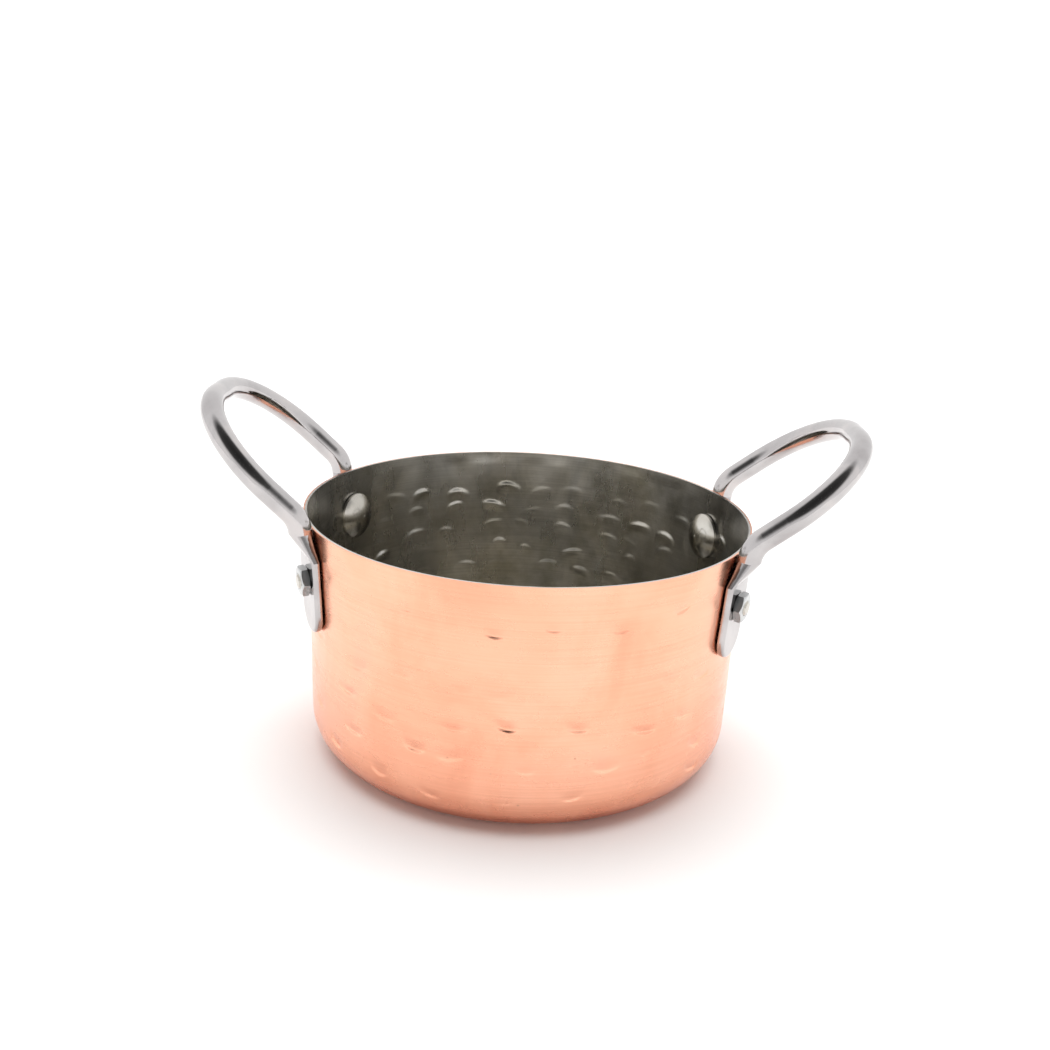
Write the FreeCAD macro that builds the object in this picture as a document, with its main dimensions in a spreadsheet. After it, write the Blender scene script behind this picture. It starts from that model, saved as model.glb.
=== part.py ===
"""A small two-handled serving pan: a stainless steel shell in a copper skin.

Frame: millimetres, +Z up, origin at the centre of the flat base, on its underside.
The handles stand along +X and -X, and -Y is the front.  Each handle is one bent steel rod
whose ends are flattened into tabs.  A mushroom head screw passes through the wall and each
tab from inside the pan, and a hex nut outside clamps it.
"""

import FreeCAD, Part
import math
import os
import re

import Sketcher

Vector = FreeCAD.Vector
Placement = FreeCAD.Placement

# Driving dimensions in millimetres and degrees, with what each one measures.
DIMENSIONS = {
    "rim_radius": (60.0, "outer radius at the rim"),
    "pan_height": (66.6, "base to rim"),
    "corner_radius": (11.0, "outer radius where the wall meets the base"),
    "copper_thickness": (0.4, "copper skin"),
    "steel_thickness": (0.5, "steel shell"),
    "wall_angle": (1.0, "lean of the lower wall, from the vertical"),
    "flare_angle": (3.4, "lean of the upper wall, from the vertical"),
    "flare_height": (39.0, "height where the straight upper wall starts"),
    "flare_radius": (100.0, "radius of the bend between the two leans"),
    "screw_height": (53.0, "screw axis on the outer wall, above the base"),
    "screw_angle": (27.3, "azimuth of a screw from its handle's direction"),
    "screw_hole_radius": (2.2, "clearance hole for the shank"),
    "shank_radius": (2.0, "screw shank"),
    "shank_proud": (0.4, "how far the shank stands out of the nut"),
    "shank_chamfer": (0.5, "chamfer on the end of the shank"),
    "head_radius": (6.5, "domed screw head"),
    "head_rise": (3.2, "whole height of the head"),
    "head_edge": (0.7, "straight edge under the dome"),
    "head_standoff": (0.4, "gap that the curved wall leaves behind the middle of the head"),
    "nut_flats": (7.0, "across the nut's flats"),
    "nut_height": (2.2, "thickness of the nut"),
    "nut_bore_radius": (2.04, "bore of the nut around the shank"),
    "nut_chamfer": (0.45, "depth of the chamfer on the nut's corners"),
    "tab_width": (12.0, "flattened end of the rod"),
    "tab_thickness": (2.0, "flattened end of the rod"),
    "tab_edge_radius": (0.7, "rounding of the tab's edges"),
    "tab_below": (14.2, "screw axis down to the tab's round tip"),
    "tab_above": (6.2, "screw axis up to the end of the flat"),
    "wall_gap": (0.05, "clearance between handle and wall"),
    "rod_radius": (3.0, "round steel rod"),
    "bend_radius": (8.0, "centre line of the bend above the rim"),
    "bend_rise": (16.2, "screw axis up to the corner that the bend rounds off"),
    "loop_reach": (36.7, "that corner out to the end of the loop, on the centre line"),
    "loop_corner_radius": (26.0, "centre line of the two bends at the end of the loop"),
    "left_tilt": (42.2, "slope of the left loop above the horizontal"),
    "right_tilt": (38.0, "slope of the right loop above the horizontal"),
}

SHEET = "Sizes"

# Formulas on the sheet's values, used for sketches and for placing them.
WALL_AT_SCREW = "(rim_radius - (pan_height - screw_height) * tan(flare_angle))"
FLARE_END = "(rim_radius - (pan_height - flare_height) * tan(flare_angle))"
FLARE_CENTRE = (
    f"({FLARE_END} + flare_radius * cos(flare_angle))",
    "(flare_height - flare_radius * sin(flare_angle))",
)
WALL_TOP = (
    f"({FLARE_CENTRE[0]} - flare_radius * cos(wall_angle))",
    f"({FLARE_CENTRE[1]} + flare_radius * sin(wall_angle))",
)
CORNER_CENTRE = (
    f"({WALL_TOP[0]} - ({WALL_TOP[1]} - corner_radius) * tan(wall_angle)"
    " - corner_radius / cos(wall_angle))",
    "corner_radius",
)
ROD_OFFSET = "(rod_radius + wall_gap)"
LEG_OFFSET = (
    f"(({WALL_AT_SCREW} + {ROD_OFFSET} * cos(flare_angle) + bend_rise * sin(flare_angle))"
    " * sin(screw_angle))"
)
HEAD_SEAT = "(copper_thickness + steel_thickness + head_standoff)"
SHANK_END = "(wall_gap + tab_thickness + nut_height + shank_proud)"
NUT_SEAT = "(wall_gap + tab_thickness)"

doc = FreeCAD.newDocument("pan")
sheet = doc.addObject("Spreadsheet::Sheet", SHEET)


def fill_sheet():
    """Write one row for each dimension: its name, its value with an alias, what it measures."""
    for row, (name, (value, meaning)) in enumerate(DIMENSIONS.items(), start=1):
        sheet.set(f"A{row}", name)
        sheet.set(f"B{row}", str(value))
        sheet.set(f"C{row}", meaning)
        sheet.setAlias(f"B{row}", name)
    doc.recompute()


def formula(text):
    """A formula on bare dimension names, as FreeCAD's expression engine reads it."""

    def qualify(match):
        word = match.group()
        return f"{SHEET}.{word}" if word in DIMENSIONS else word

    return re.sub(r"[a-z]\w*", qualify, text)


def size(text):
    """The value of a formula."""
    value = sheet.evalExpression(formula(text))
    return float(getattr(value, "Value", value))


def axes_placement(origin, x_axis, z_axis):
    """A placement with the given origin, local x and local z."""
    z_axis = Vector(z_axis).normalize()
    x_axis = Vector(x_axis).normalize()
    y_axis = z_axis.cross(x_axis)
    matrix = FreeCAD.Matrix(
        x_axis.x, y_axis.x, z_axis.x, origin.x,
        x_axis.y, y_axis.y, z_axis.y, origin.y,
        x_axis.z, y_axis.z, z_axis.z, origin.z,
        0, 0, 0, 1,
    )
    return Placement(matrix)


class WallFrame:
    """Where a screw crosses the outer wall: local x level, y up the wall, z out of it."""

    def __init__(self, azimuth):
        turn = math.radians(azimuth)
        lean = math.radians(size("flare_angle"))
        away = Vector(math.cos(turn), math.sin(turn), 0)
        up = Vector(0, 0, 1)
        self.across = Vector(-math.sin(turn), math.cos(turn), 0)
        self.up_wall = away * math.sin(lean) + up * math.cos(lean)
        self.outward = away * math.cos(lean) - up * math.sin(lean)
        self.origin = away * size(WALL_AT_SCREW) + up * size("screw_height")

    def point(self, up_wall, outward):
        return self.origin + self.up_wall * up_wall + self.outward * outward

    def placement(self, outward=0.0):
        """A plane parallel to the wall."""
        return axes_placement(self.point(0, outward), self.across, self.outward)

    def section(self, up_wall, outward):
        """A plane square to the wall's slope, with local y pointing out of the wall."""
        return axes_placement(self.point(up_wall, outward), self.across, -self.up_wall)


def new_body(name):
    body = doc.addObject("PartDesign::Body", name)
    body.Label = name
    return body


def origin_plane(body, role):
    return next(plane for plane in body.Origin.OriginFeatures if plane.Role == role)


def new_sketch(body, name, role="XY_Plane", offset=None):
    """A sketch on one of the body's own origin planes, moved from it by an offset."""
    sketch = body.newObject("Sketcher::SketchObject", name)
    sketch.AttachmentSupport = [(origin_plane(body, role), "")]
    sketch.MapMode = "FlatFace"
    if offset is not None:
        sketch.AttachmentOffset = offset
    return sketch


def hold(sketch, geometry, position, axis, text):
    """Fix one coordinate of a point of the sketch with a formula."""
    value = size(text)
    if abs(value) < 1e-9:
        axis_line = -2 if axis == "X" else -1
        sketch.addConstraint(Sketcher.Constraint("PointOnObject", geometry, position, axis_line))
        return
    constraint = Sketcher.Constraint("Distance" + axis, -1, 1, geometry, position, value)
    index = sketch.addConstraint(constraint)
    sketch.setExpression(f"Constraints[{index}]", formula(text))


class Outline:
    """A chain of lines and arcs whose corners are held by formulas."""

    START, END, CENTRE = 1, 2, 3

    def __init__(self, sketch, x, y):
        self.sketch = sketch
        self.first = (x, y)
        self.steps = []

    def line(self, x, y):
        self.steps.append(("line", (x, y), None, "XY", ""))

    def arc(self, x, y, centre, held, centre_held="XY"):
        """An arc to (x, y); held names the one coordinate that fixes where it ends."""
        self.steps.append(("arc", (x, y), centre, held, centre_held))

    def draw(self, closed=True):
        tails = []
        previous = self.first
        for kind, end, centre, *_ in self.steps:
            start_at = Vector(size(previous[0]), size(previous[1]), 0)
            end_at = Vector(size(end[0]), size(end[1]), 0)
            if kind == "line":
                edge = self.sketch.addGeometry(Part.LineSegment(start_at, end_at), False)
                tails.append((edge, self.START, self.END))
            else:
                tails.append(self._add_arc(start_at, end_at, centre))
            previous = end
        links = list(zip(tails, tails[1:]))
        if closed:
            links.append((tails[-1], tails[0]))
        for (edge, _, tail), (following, head, _) in links:
            self.sketch.addConstraint(
                Sketcher.Constraint("Coincident", edge, tail, following, head)
            )
        if not closed:
            edge, head, _ = tails[0]
            self._hold_point(edge, head, self.first, "XY")
        for (edge, _, tail), (_, end, centre, held, centre_held) in zip(tails, self.steps):
            self._hold_point(edge, self.CENTRE, centre, centre_held)
            self._hold_point(edge, tail, end, held)
        return self.sketch

    def _add_arc(self, start_at, end_at, centre):
        centre_at = Vector(size(centre[0]), size(centre[1]), 0)
        from_centre = start_at - centre_at
        to_centre = end_at - centre_at
        first = math.atan2(from_centre.y, from_centre.x)
        last = math.atan2(to_centre.y, to_centre.x)
        anticlockwise = (last - first) % (2 * math.pi) < math.pi
        circle = Part.Circle(centre_at, Vector(0, 0, 1), from_centre.Length)
        if not anticlockwise:
            first, last = last, first
        edge = self.sketch.addGeometry(Part.ArcOfCircle(circle, first, last), False)
        if anticlockwise:
            return edge, self.START, self.END
        return edge, self.END, self.START

    def _hold_point(self, edge, position, point, axes):
        for axis in axes:
            hold(self.sketch, edge, position, axis, point["XY".index(axis)])


def circle(sketch, x, y, radius):
    """A full circle held by formulas."""
    middle = Vector(size(x), size(y), 0)
    edge = sketch.addGeometry(Part.Circle(middle, Vector(0, 0, 1), size(radius)), False)
    hold(sketch, edge, 3, "X", x)
    hold(sketch, edge, 3, "Y", y)
    index = sketch.addConstraint(Sketcher.Constraint("Radius", edge, size(radius)))
    sketch.setExpression(f"Constraints[{index}]", formula(radius))
    return sketch


def revolve(body, name, sketch, angle="360"):
    """Turn a sketch about its own vertical axis."""
    feature = body.newObject("PartDesign::Revolution", name)
    feature.Profile = sketch
    feature.ReferenceAxis = (sketch, ["V_Axis"])
    feature.setExpression("Angle", formula(angle))
    doc.recompute()
    return feature


def pad(body, name, sketch, length):
    feature = body.newObject("PartDesign::Pad", name)
    feature.Profile = sketch
    feature.setExpression("Length", formula(length))
    doc.recompute()
    return feature


def bore_through(body, name, offset, radius, depth):
    """Cut a round hole both ways from a plane, and check that it cut."""
    before = body.Shape.Volume
    sketch = circle(new_sketch(body, name + "_outline", offset=offset), "0", "0", radius)
    feature = body.newObject("PartDesign::Pocket", name)
    feature.Profile = sketch
    feature.SideType = "Symmetric"
    feature.setExpression("Length", formula(depth))
    doc.recompute()
    assert body.Shape.Volume < before, name + " cuts nothing"
    return feature


def shell_side(outline, depth, outwards):
    """The pan's outline at a depth under its outer surface, from axis to rim or back."""

    def offset(centre, radius, lean):
        """The point at a radius from an arc's centre, square to a wall of the given lean."""
        return f"({centre[0]} + {radius} * cos({lean}))", f"({centre[1]} - {radius} * sin({lean}))"

    foot = (CORNER_CENTRE[0], depth)
    wall_foot = offset(CORNER_CENTRE, f"(corner_radius - {depth})", "wall_angle")
    wall_top = offset(FLARE_CENTRE, f"(-flare_radius - {depth})", "wall_angle")
    flare_end = offset(FLARE_CENTRE, f"(-flare_radius - {depth})", "flare_angle")
    rim = (f"(rim_radius - {depth} / cos(flare_angle))", "pan_height")
    if outwards:
        outline.line(*foot)
        outline.arc(*wall_foot, CORNER_CENTRE, "Y")
        outline.line(*wall_top)
        outline.arc(*flare_end, FLARE_CENTRE, "Y")
        outline.line(*rim)
    else:
        outline.line(*rim)
        outline.line(*flare_end)
        outline.arc(*wall_top, FLARE_CENTRE, "Y")
        outline.line(*wall_foot)
        outline.arc(*foot, CORNER_CENTRE, "X")
        outline.line("0", depth)


def pan_shell(name, outer_depth, inner_depth):
    """One layer of the pan, turned about Z, with the four screw holes."""
    body = new_body(name)
    outline = Outline(new_sketch(body, name + "_profile", "XZ_Plane"), "0", outer_depth)
    shell_side(outline, outer_depth, outwards=True)
    shell_side(outline, inner_depth, outwards=False)
    outline.line("0", outer_depth)
    revolve(body, name + "_turned", outline.draw())
    holes = []
    for side, azimuth in (("front", "-screw_angle"), ("back", "screw_angle")):
        offset = WallFrame(size(azimuth)).placement()
        hole = f"{name}_hole_{side}"
        holes.append(bore_through(body, hole, offset, "screw_hole_radius", "nut_flats"))
    pattern = body.newObject("PartDesign::PolarPattern", name + "_holes")
    pattern.Originals = holes
    pattern.Axis = (origin_plane(body, "Z_Axis"), [""])
    pattern.Angle = 360
    pattern.Occurrences = 2
    body.Tip = pattern
    doc.recompute()
    return body


def tab(body, name, wall):
    """The flattened end of the rod: a plate with a round tip, rounded edges and a screw hole."""
    half = "(tab_width / 2)"
    tip_centre = "(tab_width / 2 - tab_below)"
    sketch = new_sketch(body, name + "_tab_outline", offset=wall.placement(size("wall_gap")))
    outline = Outline(sketch, f"-{half}", "tab_above")
    outline.line(f"-{half}", tip_centre)
    outline.arc("0", "-tab_below", ("0", tip_centre), "X")
    outline.arc(half, tip_centre, ("0", tip_centre), "Y")
    outline.line(half, "tab_above")
    outline.line(f"-{half}", "tab_above")
    plate = pad(body, name + "_tab", outline.draw(), "tab_thickness")
    to_wall = wall.placement().inverse()
    long_edges = []
    for number, edge in enumerate(plate.Shape.Edges, start=1):
        middle = to_wall.multVec(edge.valueAt((edge.FirstParameter + edge.LastParameter) / 2))
        ends = [to_wall.multVec(vertex.Point) for vertex in edge.Vertexes]
        level = max(end.z for end in ends) - min(end.z for end in ends) < 1e-6
        below_top = middle.y < size("tab_above") - 1e-6
        if level and below_top:
            long_edges.append(f"Edge{number}")
    rounding = body.newObject("PartDesign::Fillet", name + "_tab_edges")
    rounding.Base = (plate, long_edges)
    rounding.setExpression("Radius", formula("tab_edge_radius"))
    doc.recompute()
    bore_through(body, name + "_tab_hole", wall.placement(), "screw_hole_radius", "4 * tab_thickness")


def flat_section(sketch):
    """The tab's cross-section: a rectangle with rounded corners, in eight edges."""
    half_w, half_t, radius = "(tab_width / 2)", "(tab_thickness / 2)", "tab_edge_radius"
    inner_w, inner_t = f"({half_w} - {radius})", f"({half_t} - {radius})"
    outline = Outline(sketch, half_w, f"-{inner_t}")
    outline.line(half_w, inner_t)
    outline.arc(inner_w, half_t, (inner_w, inner_t), "X")
    outline.line(f"-{inner_w}", half_t)
    outline.arc(f"-{half_w}", inner_t, (f"-{inner_w}", inner_t), "Y")
    outline.line(f"-{half_w}", f"-{inner_t}")
    outline.arc(f"-{inner_w}", f"-{half_t}", (f"-{inner_w}", f"-{inner_t}"), "X")
    outline.line(inner_w, f"-{half_t}")
    outline.arc(half_w, f"-{inner_t}", (inner_w, f"-{inner_t}"), "Y")
    return outline.draw()


def round_section(sketch):
    """The rod's circle, in eight arcs that pair with the edges of the flat section."""
    side, shoulder = 14, 42
    stops = (side, shoulder, 180 - shoulder, 180 - side)
    stops = (-side,) + stops + tuple(stop + 180 for stop in stops[:-1])
    corners = [(f"rod_radius * cos({stop})", f"rod_radius * sin({stop})") for stop in stops]
    held = ("Y", "X", "X", "Y", "Y", "X", "X")
    outline = Outline(sketch, *corners[0])
    for corner, axis in zip(corners[1:], held):
        outline.arc(*corner, ("0", "0"), axis)
    outline.arc(*corners[0], ("0", "0"), "XY", centre_held="X")
    return outline.draw()


def handle(name, tilt, turn):
    """A handle along the body's own +X: half the loop, with its leg and tab, then mirrored."""
    body = new_body(name)
    wall = WallFrame(size("screw_angle"))
    slope = math.radians(size(tilt))
    leg = Vector(math.cos(slope), 0, math.sin(slope))
    cosine = (
        f"(sin(flare_angle) * cos(screw_angle) * cos({tilt}) + cos(flare_angle) * sin({tilt}))"
    )
    bend = f"acos({cosine})"
    tangent = f"(bend_radius * tan({bend} / 2))"
    corner = wall.point(size("bend_rise"), size(ROD_OFFSET))
    flat_plane = wall.section(size("tab_above"), size("wall_gap + tab_thickness / 2"))
    rod_plane = wall.section(size("bend_rise") - size(tangent), size(ROD_OFFSET))

    tab(body, name, wall)
    loft = body.newObject("PartDesign::AdditiveLoft", name + "_flattening")
    loft.Profile = flat_section(new_sketch(body, name + "_flat_section", offset=flat_plane))
    loft.Sections = [round_section(new_sketch(body, name + "_rod_section", offset=rod_plane))]
    doc.recompute()

    to_centre = (leg * wall.up_wall.dot(leg) - wall.up_wall).normalize()
    bend_centre = corner + leg * size(tangent) + to_centre * size("bend_radius")
    bend_plane = axes_placement(bend_centre, -to_centre, leg)
    ring = new_sketch(body, name + "_bend_section", offset=bend_plane)
    revolve(body, name + "_bend", circle(ring, "bend_radius", "0", "rod_radius"), bend)

    level = Vector(0, 1, 0)
    path_plane = axes_placement(Vector(corner.x, 0, corner.z), leg, leg.cross(level))
    arc_centre = ("(loop_reach - loop_corner_radius)", f"({LEG_OFFSET} - loop_corner_radius)")
    path = Outline(new_sketch(body, name + "_path", offset=path_plane), tangent, LEG_OFFSET)
    path.line(arc_centre[0], LEG_OFFSET)
    path.arc("loop_reach", arc_centre[1], arc_centre, "Y")
    path.line("loop_reach", "0")
    rod_start = axes_placement(corner + leg * size(tangent), level, leg)
    outline = new_sketch(body, name + "_rod_outline", offset=rod_start)
    loop = body.newObject("PartDesign::AdditivePipe", name + "_loop")
    loop.Profile = circle(outline, "0", "0", "rod_radius")
    loop.Spine = (path.draw(closed=False), [])
    doc.recompute()

    other_half = body.newObject("PartDesign::Mirrored", name + "_other_half")
    other_half.TransformMode = "Whole shape"
    other_half.MirrorPlane = (origin_plane(body, "XZ_Plane"), [""])
    body.Tip = other_half
    body.Placement = Placement(Vector(), FreeCAD.Rotation(Vector(0, 0, 1), turn))
    doc.recompute()
    return body


def screw(name, azimuth):
    """A mushroom head inside the pan with its shank out through the wall, along local +Z."""
    body = new_body(name)
    seat = f"-{HEAD_SEAT}"
    edge = f"(-{HEAD_SEAT} - head_edge)"
    crown = f"(-{HEAD_SEAT} - head_rise)"
    dome_rise = "(head_rise - head_edge)"
    dome_radius = f"((head_radius * head_radius + {dome_rise} * {dome_rise}) / (2 * {dome_rise}))"
    outline = Outline(new_sketch(body, name + "_profile", "XZ_Plane"), "0", crown)
    outline.arc("head_radius", edge, ("0", f"({crown} + {dome_radius})"), "X")
    outline.line("head_radius", seat)
    outline.line("shank_radius", seat)
    outline.line("shank_radius", f"({SHANK_END} - shank_chamfer)")
    outline.line("(shank_radius - shank_chamfer)", SHANK_END)
    outline.line("0", SHANK_END)
    outline.line("0", crown)
    revolve(body, name + "_turned", outline.draw())
    body.Placement = WallFrame(azimuth).placement()
    doc.recompute()
    return body


def nut(name, azimuth):
    """A hex nut on the shank, chamfered where its corners meet its faces."""
    body = new_body(name)
    offset = Placement(Vector(0, 0, size(NUT_SEAT)), FreeCAD.Rotation())
    sketch = new_sketch(body, name + "_hexagon", offset=offset)
    corners = [
        (f"nut_flats / sqrt(3) * cos({60 * n})", f"nut_flats / sqrt(3) * sin({60 * n})")
        for n in range(6)
    ]
    outline = Outline(sketch, *corners[0])
    for corner in corners[1:] + corners[:1]:
        outline.line(*corner)
    pad(body, name + "_block", outline.draw(), "nut_height")
    reach = "(nut_flats / sqrt(3) + 0.1)"
    lean = "sqrt(3)"
    top = f"({NUT_SEAT} + nut_height)"
    before = body.Shape.Volume
    for face, level, inward in (("outer", top, "-"), ("inner", NUT_SEAT, "+")):
        sketch = new_sketch(body, f"{name}_{face}_chamfer", "XZ_Plane")
        profile = Outline(sketch, reach, level)
        profile.line(f"({reach} - nut_chamfer * {lean})", level)
        profile.line(reach, f"({level} {inward} nut_chamfer)")
        profile.line(reach, level)
        groove = body.newObject("PartDesign::Groove", f"{name}_{face}_corners")
        groove.Profile = profile.draw()
        groove.ReferenceAxis = (groove.Profile[0], ["V_Axis"])
        groove.Angle = 360
        doc.recompute()
    assert body.Shape.Volume < before, name + " has no chamfers"
    bore_through(body, name + "_bore", None, "nut_bore_radius", "4 * nut_height")
    body.Placement = WallFrame(azimuth).placement()
    doc.recompute()
    return body


def build():
    fill_sheet()
    copper_depth = "copper_thickness"
    bodies = [
        pan_shell("copper_skin", "0", copper_depth),
        pan_shell("pan_body", copper_depth, "(copper_thickness + steel_thickness)"),
        handle("handle_right", "right_tilt", turn=0),
        handle("handle_left", "left_tilt", turn=180),
    ]
    half_angle = size("screw_angle")
    corners = {
        "right_front": -half_angle,
        "right_back": half_angle,
        "left_front": half_angle - 180,
        "left_back": 180 - half_angle,
    }
    for corner, azimuth in corners.items():
        bodies.append(screw("screw_" + corner, azimuth))
        bodies.append(nut("nut_" + corner, azimuth))
    return bodies


def check(bodies):
    """Stop if any feature failed or any piece is not one sound solid."""
    doc.recompute()
    failed = [
        f"{item.Label}: {item.State}"
        for item in doc.Objects
        if "Invalid" in item.State or "Error" in item.State
    ]
    if failed:
        raise RuntimeError("failed features: " + ", ".join(failed))
    for body in bodies:
        shape = body.Shape
        if shape.isNull() or not shape.isValid() or len(shape.Solids) != 1:
            raise RuntimeError(body.Label + " is not one valid solid")


def export(bodies):
    os.makedirs("parts", exist_ok=True)
    for body in bodies:
        body.Shape.exportStep(f"parts/{body.Label}.step")
        box = body.Shape.BoundBox
        print(
            f"{body.Label:20s} {box.XLength:7.2f} {box.YLength:7.2f} {box.ZLength:7.2f} mm"
            f" {body.Shape.Volume / 1000:8.3f} cm3"
        )


pieces = build()
check(pieces)
export(pieces)
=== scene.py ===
"""Looks of the small two-handled pan: hammered copper outside, hammered steel inside.

The copper skin and the steel shell are turned here as fine meshes that carry the hammer marks.
The handles, screws and nuts are the CAD nodes themselves, with their own finishes.
Metres, +Z up, origin at the centre of the base; the handles stand along +X and -X.
"""

import bpy
import math
import numpy as np
import random
from mathutils import Matrix, Vector


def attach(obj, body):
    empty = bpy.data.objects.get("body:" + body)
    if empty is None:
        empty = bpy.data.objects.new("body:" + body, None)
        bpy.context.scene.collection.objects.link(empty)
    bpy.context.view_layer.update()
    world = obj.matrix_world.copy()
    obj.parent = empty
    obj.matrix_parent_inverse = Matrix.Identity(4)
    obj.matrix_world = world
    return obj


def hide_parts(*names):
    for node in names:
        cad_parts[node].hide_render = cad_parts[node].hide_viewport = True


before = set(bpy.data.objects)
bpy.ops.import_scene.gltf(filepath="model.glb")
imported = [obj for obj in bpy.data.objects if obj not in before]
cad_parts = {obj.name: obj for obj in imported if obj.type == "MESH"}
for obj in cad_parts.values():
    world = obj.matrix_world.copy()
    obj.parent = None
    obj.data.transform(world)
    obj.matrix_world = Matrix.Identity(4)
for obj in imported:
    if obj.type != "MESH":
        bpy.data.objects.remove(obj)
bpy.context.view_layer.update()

MM = 0.001
RIM_RADIUS = 60.0 * MM
HEIGHT = 66.6 * MM
CORNER = 11.0 * MM
COPPER = 0.4 * MM
STEEL = 0.5 * MM
LOWER_LEAN = math.radians(1.0)
UPPER_LEAN = math.radians(3.4)
LEAN_CHANGE_HEIGHT = 39.0 * MM
LEAN_CHANGE_RADIUS = 100.0 * MM
SCREW_HEIGHT = 53.0 * MM
SCREW_ANGLE = math.radians(27.3)
SCREW_AZIMUTHS = [side + turn for side in (0.0, math.pi) for turn in (-SCREW_ANGLE, SCREW_ANGLE)]
HOLE_RADIUS = 2.2 * MM

ROUND_STEPS = 960
ROW_SPACING = 0.32 * MM
BASE_SPACING = 1.5 * MM
BACKING_ROW_SPACING = 2.0 * MM
BACKING_BASE_SPACING = 8.0 * MM
BACKING_SHIFT = 0.25 * MM
SET_BACK = 0.04 * MM
AZIMUTHS = np.linspace(0, 2 * math.pi, ROUND_STEPS, endpoint=False)


# ---------------------------------------------------------------- the pan's outline


def outline(depth):
    """The wall's section at a depth under the outer face: radii and heights, base centre to rim."""
    flare_end = RIM_RADIUS - (HEIGHT - LEAN_CHANGE_HEIGHT) * math.tan(UPPER_LEAN)
    flare_x = flare_end + LEAN_CHANGE_RADIUS * math.cos(UPPER_LEAN)
    flare_z = LEAN_CHANGE_HEIGHT - LEAN_CHANGE_RADIUS * math.sin(UPPER_LEAN)
    top_x = flare_x - LEAN_CHANGE_RADIUS * math.cos(LOWER_LEAN)
    top_z = flare_z + LEAN_CHANGE_RADIUS * math.sin(LOWER_LEAN)
    corner_x = top_x - (top_z - CORNER) * math.tan(LOWER_LEAN) - CORNER / math.cos(LOWER_LEAN)

    points = [(0.0, depth), (corner_x, depth)]
    inner = CORNER - depth
    for step in range(1, 25):
        angle = -math.pi / 2 + (math.pi / 2 - LOWER_LEAN) * step / 24
        points.append((corner_x + inner * math.cos(angle), CORNER + inner * math.sin(angle)))
    reach = LEAN_CHANGE_RADIUS + depth
    for step in range(9):
        lean = LOWER_LEAN + (UPPER_LEAN - LOWER_LEAN) * step / 8
        points.append((flare_x - reach * math.cos(lean), flare_z + reach * math.sin(lean)))
    points.append((RIM_RADIUS - depth / math.cos(UPPER_LEAN), HEIGHT))
    return np.array(points)


def resample(points, base_spacing, wall_spacing):
    """The same section with evenly spaced points, wider apart on the flat base."""
    along = np.concatenate([[0.0], np.cumsum(np.hypot(*np.diff(points, axis=0).T))])
    base = np.arange(0.0, along[1], base_spacing)
    count = int((along[-1] - along[1]) / wall_spacing)
    at = np.concatenate([base, np.linspace(along[1], along[-1], count + 1)])
    return np.column_stack([np.interp(at, along, points[:, i]) for i in (0, 1)])


def normals_of(section):
    """Unit vectors out of the pan's outer face, for each point of a section."""
    tangent = np.gradient(section, axis=0)
    tangent /= np.linalg.norm(tangent, axis=1)[:, None]
    return np.column_stack([tangent[:, 1], -tangent[:, 0]])


# ---------------------------------------------------------------- the hammer marks


def wrap(angle):
    """The same angle, between minus and plus half a turn."""
    return (angle + math.pi) % (2 * math.pi) - math.pi


def smooth_step(t):
    """0 below 0 and 1 above 1, with a smooth rise between."""
    t = np.clip(t, 0.0, 1.0)
    return t * t * (3 - 2 * t)


def hammer_marks(seed, rows, first, spacing, count, strong):
    """Where the hammer struck: azimuth, height, half width, height of the mark, depth, slant."""
    rng = random.Random(seed)
    marks = []
    for row in range(rows):
        shift = rng.uniform(0, 1)
        for place in range(count):
            azimuth = 2 * math.pi * (place + shift + rng.uniform(-0.3, 0.3)) / count
            depth = strong * (0.16 + 0.84 * rng.random() ** 2.0)
            marks.append((
                azimuth,
                first + spacing * row + rng.uniform(-0.22, 0.22) * spacing,
                rng.uniform(2.8, 4.8) * MM,
                rng.uniform(2.4, 4.0) * MM,
                depth,
                rng.uniform(-0.2, 0.2),
            ))
    return marks


def clear_of_fixings(azimuth, height):
    """1 on open wall, 0 where the tabs and screw heads are clamped against it."""
    half_width, half_height = 8.0 * MM, 14.0 * MM
    starts, fades_over = 0.9, 0.35
    keep = np.ones(np.broadcast(azimuth, height).shape)
    for screw_azimuth in SCREW_AZIMUTHS:
        across = wrap(azimuth - screw_azimuth) * RIM_RADIUS
        up = height - SCREW_HEIGHT
        far = np.sqrt((across / half_width) ** 2 + (up / half_height) ** 2)
        keep = keep * smooth_step((far - starts) / fades_over)
    return keep


def dent_field(marks, azimuths, heights, lip_run, facing):
    """How deep the wall is struck in, on a grid of heights by azimuths.

    Each mark is deepest behind a curved lip and fades away from it: up the wall where facing
    is 1, and down it where facing is -1. The lip itself rises over the run.
    """
    field = np.zeros((len(heights), len(azimuths)))
    for azimuth, height, half_width, tall, depth, slant in marks:
        rows = np.where(np.abs(heights - height) < 1.6 * tall)[0]
        across_all = wrap(azimuths - azimuth) * RIM_RADIUS
        columns = np.where(np.abs(across_all) < 1.15 * half_width)[0]
        if not len(rows) or not len(columns):
            continue
        across = across_all[columns][None, :] / half_width
        up = facing * (heights[rows] - height)[:, None] - slant * across * half_width
        lip = 0.34 * tall * across**2
        from_lip = up - lip
        cross = np.clip(1 - across**2, 0, None) ** 1.2
        rise = smooth_step(from_lip / lip_run)
        fade = 1 - smooth_step((from_lip - 0.8 * lip_run) / tall)
        patch = depth * cross * rise * fade
        block = field[np.ix_(rows, columns)]
        field[np.ix_(rows, columns)] = np.maximum(block, patch)
    return field


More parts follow.
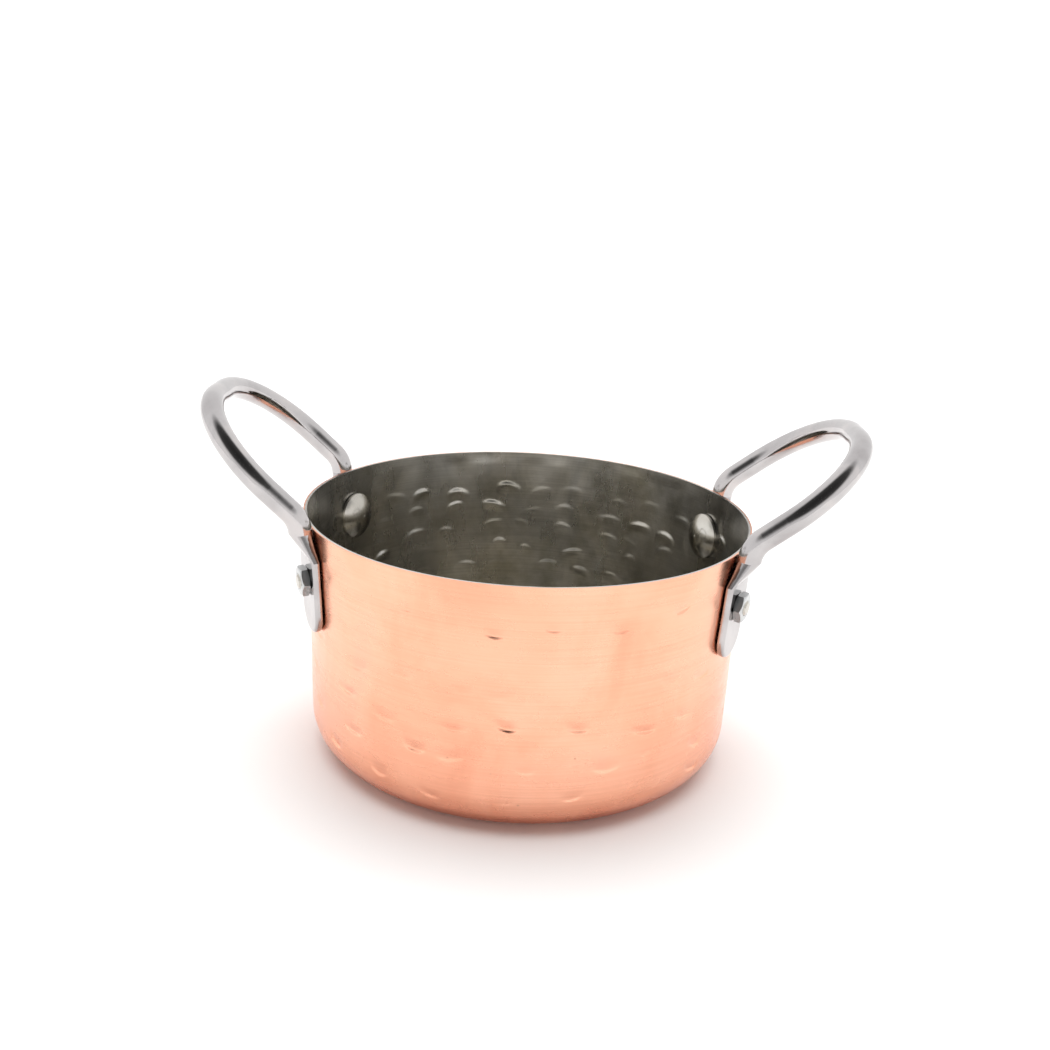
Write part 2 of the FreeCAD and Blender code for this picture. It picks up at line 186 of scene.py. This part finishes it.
def planished(azimuths, heights, seed, amount):
    """The gentle unevenness that the planishing leaves, as a sum of slow waves."""
    rng = random.Random(seed)
    field = np.zeros((len(heights), len(azimuths)))
    for _ in range(26):
        around = rng.randint(3, 34)
        upward = rng.uniform(-420, 420)
        phase = rng.uniform(0, 2 * math.pi)
        share = 1 / (1 + 0.06 * around)
        wave = np.sin(around * azimuths[None, :] + upward * heights[:, None] + phase)
        field += share * wave
    return amount * field / 3


# ---------------------------------------------------------------- meshes


def lathe(name, outer, inner):
    """A closed shell from two grids of points: outer and inner, each base centre to rim."""
    rows_out, steps = outer.shape[:2]
    rows_in = inner.shape[0]
    loop = np.concatenate([outer[1:], inner[:0:-1]])
    rows = rows_out + rows_in - 2
    points = np.concatenate([loop.reshape(-1, 3), outer[0, :1], inner[0, :1]])
    row, column = np.meshgrid(np.arange(rows - 1), np.arange(steps), indexing="ij")
    following = (column + 1) % steps
    quads = np.stack([
        row * steps + column, row * steps + following,
        (row + 1) * steps + following, (row + 1) * steps + column,
    ], axis=-1).reshape(-1, 4)
    centre_out, centre_in = rows * steps, rows * steps + 1
    last = (rows - 1) * steps
    faces = quads.tolist()
    for step in range(steps):
        after = (step + 1) % steps
        faces.append([centre_out, after, step])
        faces.append([centre_in, last + step, last + after])
    mesh = bpy.data.meshes.new(name)
    mesh.from_pydata(points.tolist(), [], faces)
    mesh.update()
    mesh.shade_smooth()
    mesh.set_sharp_from_angle(angle=math.radians(62))
    piece = bpy.data.objects.new(name, mesh)
    bpy.context.scene.collection.objects.link(piece)
    return piece


def turned(section, azimuths, inward):
    """The section turned about Z, each point moved into the wall by its own amount."""
    normal = normals_of(section)
    radius = section[:, 0][:, None] - normal[:, 0][:, None] * inward
    height = section[:, 1][:, None] - normal[:, 1][:, None] * inward
    return np.stack([
        radius * np.cos(azimuths)[None, :],
        radius * np.sin(azimuths)[None, :],
        height + 0 * azimuths[None, :],
    ], axis=-1)


def on_wall(section):
    """1 on the wall, fading to 0 on the flat base and close to the rim."""
    low_start, low_run = 3.0 * MM, 5.0 * MM
    high_start, high_run = HEIGHT - 4.0 * MM, 3.5 * MM
    low = smooth_step((section[:, 1] - low_start) / low_run)
    high = 1 - smooth_step((section[:, 1] - high_start) / high_run)
    return (low * high)[:, None]


def cut_screw_holes(piece):
    """Bore the four clearance holes square to the wall."""
    for azimuth in SCREW_AZIMUTHS:
        out = Vector((
            math.cos(azimuth) * math.cos(UPPER_LEAN),
            math.sin(azimuth) * math.cos(UPPER_LEAN),
            -math.sin(UPPER_LEAN),
        ))
        radius = RIM_RADIUS - (HEIGHT - SCREW_HEIGHT) * math.tan(UPPER_LEAN)
        at = Vector((radius * math.cos(azimuth), radius * math.sin(azimuth), SCREW_HEIGHT))
        bpy.ops.mesh.primitive_cylinder_add(vertices=48, radius=HOLE_RADIUS, depth=8 * MM)
        drill = bpy.context.object
        drill.matrix_world = Matrix.Translation(at) @ out.to_track_quat("Z", "Y").to_matrix().to_4x4()
        hole = piece.modifiers.new("hole", "BOOLEAN")
        hole.operation = "DIFFERENCE"
        hole.solver = "FAST"
        hole.object = drill
        bpy.context.view_layer.objects.active = piece
        bpy.ops.object.modifier_apply(modifier=hole.name)
        bpy.data.objects.remove(drill)


def backing():
    """The hidden face where the copper and the steel meet.

    It is set deeper on the wall, so that the copper is thick enough for the deepest marks.
    """
    section = resample(outline(COPPER), BACKING_BASE_SPACING, BACKING_ROW_SPACING)
    return turned(section, AZIMUTHS, BACKING_SHIFT * on_wall(section) + 0 * AZIMUTHS[None, :])


def copper_skin():
    """The copper, struck from outside; the set back keeps its slow waves inside the outline."""
    section = resample(outline(0.0), BASE_SPACING, ROW_SPACING)
    clear = clear_of_fixings(AZIMUTHS[None, :], section[:, 1][:, None]) * on_wall(section)
    marks = hammer_marks(seed=11, rows=6, first=9 * MM, spacing=9.2 * MM, count=22, strong=0.52 * MM)
    dents = dent_field(marks, AZIMUTHS, section[:, 1], lip_run=0.45 * MM, facing=1) * clear
    waves = planished(AZIMUTHS, section[:, 1], seed=5, amount=0.02 * MM)
    uneven = (waves + SET_BACK) * clear
    return lathe("copper_hammered", turned(section, AZIMUTHS, dents + uneven), backing())


def steel_shell():
    """The steel, whose marks stand out from the wall into the pan."""
    section = resample(outline(COPPER + STEEL), BASE_SPACING, ROW_SPACING)
    clear = clear_of_fixings(AZIMUTHS[None, :], section[:, 1][:, None]) * on_wall(section)
    marks = hammer_marks(seed=3, rows=9, first=7 * MM, spacing=6.2 * MM, count=30, strong=0.48 * MM)
    bumps = dent_field(marks, AZIMUTHS, section[:, 1], lip_run=1.4 * MM, facing=-1) * clear
    uneven = planished(AZIMUTHS, section[:, 1], seed=8, amount=0.09 * MM) * clear
    return lathe("steel_hammered", backing(), turned(section, AZIMUTHS, bumps + uneven))


# ---------------------------------------------------------------- finishes


class Finish:
    """A metal finish built up node by node."""

    def __init__(self, name, colour, roughness):
        self.material = bpy.data.materials.new(name)
        self.material.use_nodes = True
        self.tree = self.material.node_tree
        self.shader = self.tree.nodes["Principled BSDF"]
        self.shader.inputs["Metallic"].default_value = 1.0
        self.shader.inputs["Base Color"].default_value = (*colour, 1)
        self.shader.inputs["Roughness"].default_value = roughness
        self.place = self.node("ShaderNodeTexCoord").outputs["Object"]
        self.relief = None

    def node(self, kind, **settings):
        made = self.tree.nodes.new(kind)
        for name, value in settings.items():
            setattr(made, name, value)
        return made

    def link(self, source, target):
        self.tree.links.new(source, target)

    def noise(self, scale, detail=3.0, roughness=0.5, stretch=(1, 1, 1), distortion=0.0):
        mapping = self.node("ShaderNodeMapping")
        mapping.inputs["Scale"].default_value = stretch
        self.link(self.place, mapping.inputs["Vector"])
        texture = self.node("ShaderNodeTexNoise")
        texture.inputs["Scale"].default_value = scale
        texture.inputs["Detail"].default_value = detail
        texture.inputs["Roughness"].default_value = roughness
        texture.inputs["Distortion"].default_value = distortion
        self.link(mapping.outputs["Vector"], texture.inputs["Vector"])
        return texture.outputs["Fac"]

    def specks(self, scale, size, stretch=(1, 1, 1)):
        """1 in small scattered spots, 0 elsewhere."""
        mapping = self.node("ShaderNodeMapping")
        mapping.inputs["Scale"].default_value = stretch
        self.link(self.place, mapping.inputs["Vector"])
        texture = self.node("ShaderNodeTexVoronoi")
        texture.inputs["Scale"].default_value = scale
        texture.inputs["Randomness"].default_value = 1.0
        self.link(mapping.outputs["Vector"], texture.inputs["Vector"])
        return self.remap(texture.outputs["Distance"], size, 0.0, 0.0, 1.0)

    def remap(self, value, low, high, to_low, to_high):
        made = self.node("ShaderNodeMapRange")
        made.inputs["From Min"].default_value = low
        made.inputs["From Max"].default_value = high
        made.inputs["To Min"].default_value = to_low
        made.inputs["To Max"].default_value = to_high
        self.link(value, made.inputs["Value"])
        return made.outputs["Result"]

    def ramp(self, value, stops):
        made = self.node("ShaderNodeValToRGB")
        elements = made.color_ramp.elements
        while len(elements) < len(stops):
            elements.new(0.5)
        for element, (position, colour) in zip(elements, stops):
            element.position = position
            element.color = (*colour, 1)
        self.link(value, made.inputs["Fac"])
        return made.outputs["Color"]

    def mix(self, factor, first, second, blend="MIX"):
        made = self.node("ShaderNodeMix", data_type="RGBA", blend_type=blend)
        self.link(factor, made.inputs["Factor"])
        self.link(first, made.inputs["A"])
        self.link(second, made.inputs["B"])
        return made.outputs["Result"]

    def height_z(self):
        made = self.node("ShaderNodeSeparateXYZ")
        self.link(self.place, made.inputs["Vector"])
        return made.outputs["Z"]

    def bump(self, value, distance, strength=1.0):
        """Add a layer of fine relief over those already there."""
        made = self.node("ShaderNodeBump")
        made.inputs["Distance"].default_value = distance
        made.inputs["Strength"].default_value = strength
        self.link(value, made.inputs["Height"])
        if self.relief is not None:
            self.link(self.relief, made.inputs["Normal"])
        self.relief = made.outputs["Normal"]
        self.link(self.relief, self.shader.inputs["Normal"])

    def colour(self, value):
        self.link(value, self.shader.inputs["Base Color"])

    def rough(self, value):
        self.link(value, self.shader.inputs["Roughness"])


def copper_finish():
    """Satin copper: cloudy tone, brushing round the pan, painted shade darkening the lowest 12 mm
    towards the base, small brown spots.
    """
    finish = Finish("copper_satin", (0.94, 0.53, 0.34), 0.27)
    tone = finish.noise(38, 4, 0.55, (1, 1, 0.8), 0.6)
    lit = finish.ramp(tone, [
        (0.25, (0.85, 0.38, 0.245)),
        (0.45, (0.94, 0.46, 0.305)),
        (0.62, (0.97, 0.51, 0.35)),
        (0.80, (0.95, 0.49, 0.35)),
    ])
    brushing = finish.noise(1.0, 5, 0.6, (14, 14, 2600))
    lines = finish.ramp(brushing, [(0.3, (0.90, 0.88, 0.87)), (0.6, (1, 1, 1))])
    shine = finish.remap(finish.noise(60, 2), 0.3, 0.7, 0.4, 1.0)
    brushed = finish.mix(shine, lit, lines, "MULTIPLY")
    # Painted shade: the copper colour is darkened, in mottled patches, over the lowest 12 mm towards
    # the base.
    low = finish.remap(finish.height_z(), 0.0, 0.012, 1.0, 0.0)
    painted_base_shade = finish.ramp(finish.noise(90, 3), [(0.3, (0.72, 0.50, 0.42)), (0.7, (0.86, 0.66, 0.58))])
    base_shaded = finish.mix(low, brushed, finish.mix(shine, brushed, painted_base_shade, "MULTIPLY"))
    spots = finish.specks(115, 0.045)
    brown = finish.ramp(finish.noise(200, 2), [(0.4, (0.45, 0.22, 0.14)), (0.6, (0.62, 0.34, 0.24))])
    finish.colour(finish.mix(spots, base_shaded, brown))
    finish.rough(finish.remap(finish.noise(70, 5, 0.6, (1, 1, 3)), 0.25, 0.75, 0.20, 0.33))
    finish.bump(finish.noise(150, 4, 0.5, (1, 1, 1.4)), 0.00007, 0.5)
    finish.bump(brushing, 0.000012, 0.6)
    finish.bump(spots, 0.00005, 0.5)
    return finish.material


def steel_finish():
    """The inside's dull steel: cloudy, stained in patches and brushed round the pan."""
    finish = Finish("steel_inside", (0.40, 0.39, 0.36), 0.30)
    tone = finish.noise(46, 5, 0.6, (1, 1, 0.5), 0.8)
    cloudy = finish.ramp(tone, [
        (0.28, (0.46, 0.45, 0.43)),
        (0.45, (0.59, 0.575, 0.54)),
        (0.60, (0.70, 0.67, 0.61)),
        (0.78, (0.82, 0.79, 0.73)),
    ])
    stain = finish.ramp(finish.noise(120, 4, 0.6), [
        (0.35, (0.72, 0.70, 0.62)),
        (0.60, (1.0, 0.98, 0.95)),
    ])
    patch = finish.remap(finish.noise(24, 2), 0.4, 0.65, 0.0, 1.0)
    stained = finish.mix(patch, cloudy, stain, "MULTIPLY")
    brushing = finish.noise(1.0, 5, 0.65, (22, 22, 2100))
    lines = finish.ramp(brushing, [(0.3, (0.80, 0.80, 0.80)), (0.65, (1, 1, 1))])
    everywhere = finish.remap(finish.noise(35, 2), 0.3, 0.6, 0.5, 1.0)
    finish.colour(finish.mix(everywhere, stained, lines, "MULTIPLY"))
    finish.rough(finish.remap(finish.noise(80, 5, 0.6, (1, 1, 0.4)), 0.25, 0.75, 0.20, 0.38))
    finish.bump(finish.noise(170, 4, 0.55), 0.00009, 0.6)
    finish.bump(brushing, 0.000015, 0.6)
    return finish.material


def bright_finish(name, colours, rough, grain, nick_scale):
    """Polished steel with fine grain, nicks and a little tint."""
    finish = Finish(name, colours[1], rough[0])
    tone = finish.noise(75, 4, 0.55, (1, 1, 1), 0.4)
    finish_colour = finish.ramp(tone, [(0.28, colours[0]), (0.52, colours[1]), (0.76, colours[2])])
    marks = finish.specks(nick_scale, 0.055, (1, 1, 1.6))
    dark = finish.ramp(finish.noise(300, 2), [(0.4, (0.16, 0.15, 0.15)), (0.6, (0.30, 0.28, 0.27))])
    finish.colour(finish.mix(marks, finish_colour, dark))
    finish.rough(finish.remap(finish.noise(110, 5, 0.6), 0.25, 0.75, *rough))
    scratches = finish.noise(1.0, 4, 0.6, grain)
    finish.bump(finish.noise(260, 3, 0.5), 0.00004, 0.45)
    finish.bump(scratches, 0.00001, 0.6)
    finish.bump(marks, 0.00006, 0.6)
    return finish.material


# ---------------------------------------------------------------- the pieces

copper = copper_skin()
steel = steel_shell()
for piece, node, slot_name, material in (
    (copper, "copper_skin", "copper", copper_finish()),
    (steel, "pan_body", "pan_steel", steel_finish()),
):
    cut_screw_holes(piece)
    piece.data.materials.clear()
    piece.data.materials.append(material)
    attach(piece, "root")
    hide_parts(node)

PINKISH = ((0.40, 0.38, 0.38), (0.50, 0.48, 0.48), (0.60, 0.56, 0.55))
WARM = ((0.42, 0.40, 0.36), (0.56, 0.53, 0.48), (0.66, 0.64, 0.59))
COOL = ((0.46, 0.47, 0.47), (0.57, 0.58, 0.58), (0.68, 0.68, 0.67))
finishes = {
    "handle": bright_finish("steel_rod", PINKISH, (0.08, 0.19), (300, 1500, 900), 90),
    "screw": bright_finish("steel_screw", WARM, (0.16, 0.30), (1200, 1200, 1200), 160),
    "nut": bright_finish("steel_nut", COOL, (0.22, 0.36), (1500, 1500, 700), 210),
}
for name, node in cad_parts.items():
    kind = name.split("_")[0]
    if kind in finishes:
        node.data.materials.clear()
        node.data.materials.append(finishes[kind])

# ---------------------------------------------------------------- floor, light and camera


def pale_floor():
    """A plain floor out to the horizon, a hair under the base."""
    bpy.ops.mesh.primitive_plane_add(size=200, location=(0, 0, -0.05 * MM))
    floor = bpy.context.object
    floor.name = "floor"
    paint = bpy.data.materials.new("pale_floor")
    paint.use_nodes = True
    shader = paint.node_tree.nodes["Principled BSDF"]
    shader.inputs["Base Color"].default_value = (0.90, 0.895, 0.89, 1)
    shader.inputs["Roughness"].default_value = 0.85
    shader.inputs["Specular IOR Level"].default_value = 0.1
    floor.data.materials.append(paint)


def studio_sky():
    """White walls and ceiling, brightest behind the pan, with one dim region high in front."""
    world = bpy.data.worlds.new("studio")
    bpy.context.scene.world = world
    world.use_nodes = True
    tree = world.node_tree
    place = tree.nodes.new("ShaderNodeTexCoord")
    dim_elevation = math.radians(62)
    dim_axis = (0.0, -math.cos(dim_elevation), math.sin(dim_elevation))
    towards_dim = tree.nodes.new("ShaderNodeVectorMath")
    towards_dim.operation = "DOT_PRODUCT"
    towards_dim.inputs[1].default_value = dim_axis
    ramp = tree.nodes.new("ShaderNodeValToRGB")
    tree.links.new(place.outputs["Generated"], towards_dim.inputs[0])
    tree.links.new(towards_dim.outputs["Value"], ramp.inputs["Fac"])
    elements = ramp.color_ramp.elements
    elements.new(0.5)
    elements.new(0.6)
    levels = ((0.35, 1.0), (0.62, 0.95), (0.80, 0.07), (1.0, 0.03))
    for element, (position, level) in zip(elements, levels):
        element.position = position
        element.color = (level, level, level, 1)
    background = tree.nodes["Background"]
    tree.links.new(ramp.outputs["Color"], background.inputs["Color"])
    background.inputs["Strength"].default_value = 1.12


def overhead_fill(strength):
    """Wide soft light from above for the floor and the shadow; metal doesn't mirror it."""
    data = bpy.data.lights.new("overhead", "SUN")
    data.energy = strength
    data.angle = math.radians(70)
    light = bpy.data.objects.new("overhead", data)
    light.rotation_euler = (math.radians(-8), 0, 0)
    light.visible_glossy = False
    bpy.context.scene.collection.objects.link(light)


def studio_camera():
    """The camera, placed in rim radii from the base's centre, looking down with a slight roll."""
    elevation, roll, turn = math.radians(18.045), math.radians(3.042), math.radians(1.2)
    distance, sideways, raised = 5.772, 0.041, 0.978
    sensor_width, focal_length_per_width = 36.0, 1201 / 1050
    back = Vector((0, -math.cos(elevation), math.sin(elevation)))
    right = Vector((1, 0, 0))
    up = back.cross(right)
    across = right * math.cos(roll) + up * math.sin(roll)
    upward = up * math.cos(roll) - right * math.sin(roll)
    at = (back * distance + across * sideways + upward * raised) * RIM_RADIUS
    swing = Matrix.Rotation(turn, 4, "Z")
    axes = Matrix((across, upward, back)).transposed().to_4x4()
    data = bpy.data.cameras.new("camera")
    data.sensor_width = sensor_width
    data.lens = sensor_width * focal_length_per_width
    data.clip_start = 0.01
    camera = bpy.data.objects.new("camera", data)
    camera.matrix_world = swing @ Matrix.Translation(at) @ axes
    bpy.context.scene.collection.objects.link(camera)
    bpy.context.scene.camera = camera


pale_floor()
studio_sky()
overhead_fill(strength=2.9)
studio_camera()
bpy.context.scene.view_settings.view_transform = "Standard"
